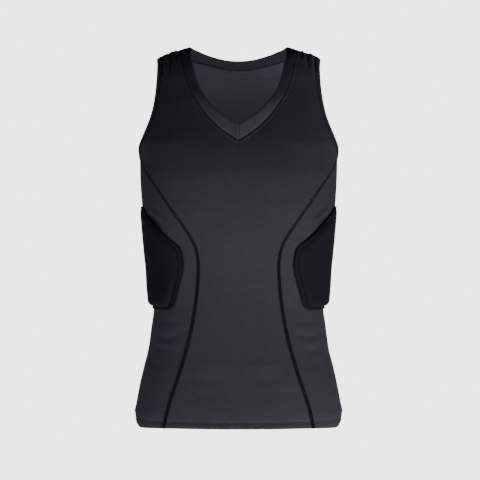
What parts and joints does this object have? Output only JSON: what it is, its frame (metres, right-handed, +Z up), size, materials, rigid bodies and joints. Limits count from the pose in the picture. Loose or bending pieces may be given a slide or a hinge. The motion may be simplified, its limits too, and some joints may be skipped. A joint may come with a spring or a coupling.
{
  "type": "compression shirt",
  "caption": "Sleeveless V-neck compression shirt, filled out as worn and hollow, with curved side panels, a turned hem and a foam rib pad in a stitched knit cover on each side.",
  "frame": {"origin": "midway between the two shoulder straps, level with the middle of each strap, where the wearer's shoulders carry the shirt", "axes": "+Z up from hem to shoulders, -Y out of the front, +X towards the wearer's left"},
  "size_m": [0.3706, 0.2295, 0.6785],
  "materials": {
    "jersey": "fine smooth stretch jersey with a faint soft sheen",
    "rib_cover": "matt dense knit over foam",
    "thread": "dull spun sewing thread"
  },
  "bodies": {
    "root": {"front_panel": "jersey", "back_panel": "jersey", "side_panel_left": "jersey", "side_panel_right": "jersey", "neckband": "jersey", "armhole_binding_left": "jersey", "armhole_binding_right": "jersey", "rib_pad_left": "rib_cover", "rib_pad_right": "rib_cover"}
  },
  "joints": []
}
